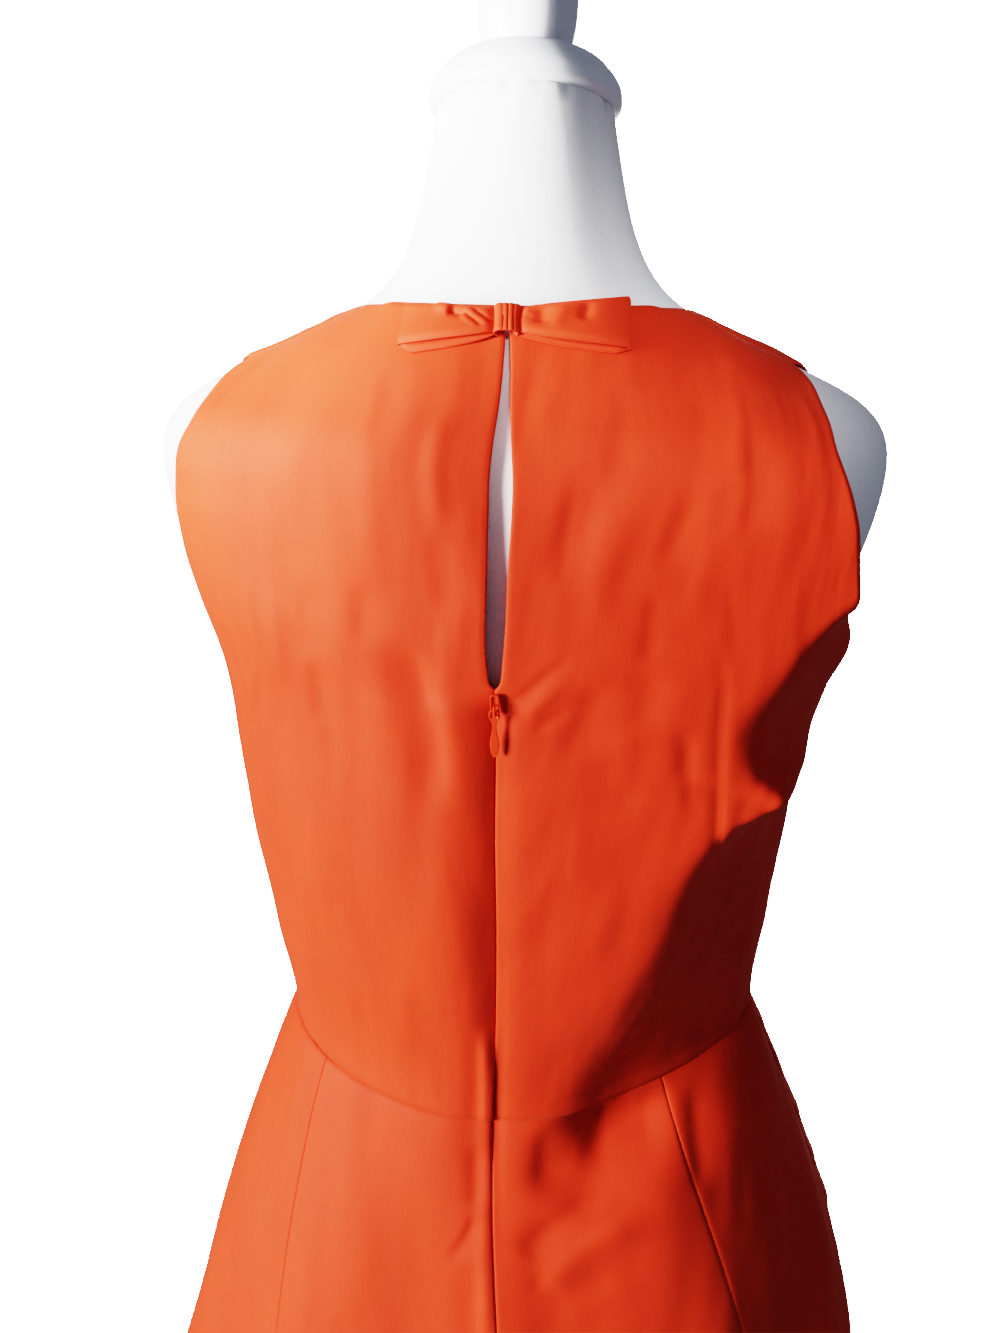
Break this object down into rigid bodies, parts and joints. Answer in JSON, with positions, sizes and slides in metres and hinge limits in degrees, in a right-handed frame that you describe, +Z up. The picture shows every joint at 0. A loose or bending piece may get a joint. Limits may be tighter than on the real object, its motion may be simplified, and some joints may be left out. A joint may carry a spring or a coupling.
{
  "type": "peplum dress on dress form",
  "caption": "Sleeveless peplum dress over a slim knee-length skirt, with a keyhole back, a flat bow and a zip, on a limbless dress form with a round base.",
  "frame": {"origin": "on the floor at the middle of the whole part's box, under the pole", "axes": "+Z up; the front of the dress faces -Y and its back +Y; the wearer's left is +X"},
  "size_m": [0.4424, 0.36, 1.6242],
  "materials": {
    "dress_cloth": "plain woven, matt with a faint sheen",
    "zip_tape": "woven tape, matt",
    "zip_metal": "enamelled to match the cloth",
    "form_cover": "tight white jersey, matt",
    "painted_wood": "turned and painted white, satin",
    "stand_metal": "white powder coat, satin"
  },
  "bodies": {
    "dress_and_form": {"base": "stand_metal", "bodice_back_left": "dress_cloth", "bodice_back_right": "dress_cloth", "bodice_front": "dress_cloth", "bow_knot": "dress_cloth", "bow_loop_left": "dress_cloth", "bow_loop_right": "dress_cloth", "finial": "painted_wood", "form_torso": "form_cover", "neck_cap": "painted_wood", "peplum_back_left": "dress_cloth", "peplum_back_right": "dress_cloth", "peplum_front": "dress_cloth", "peplum_side_left": "dress_cloth", "peplum_side_right": "dress_cloth", "pole": "stand_metal", "pole_collar": "stand_metal", "skirt_back_left": "dress_cloth", "skirt_back_right": "dress_cloth", "skirt_front": "dress_cloth", "zip_slider": "zip_metal", "zip_tape": "zip_tape"},
    "pull": {"zip_pull": "zip_metal"}
  },
  "joints": [
    {"name": "pull_hinge", "type": "hinge", "parent": "dress_and_form", "child": "pull", "pos_m": [0.00633, 0.11238, 1.29126], "axis": [1, 0, 0], "range_deg": [0, 170]}
  ]
}
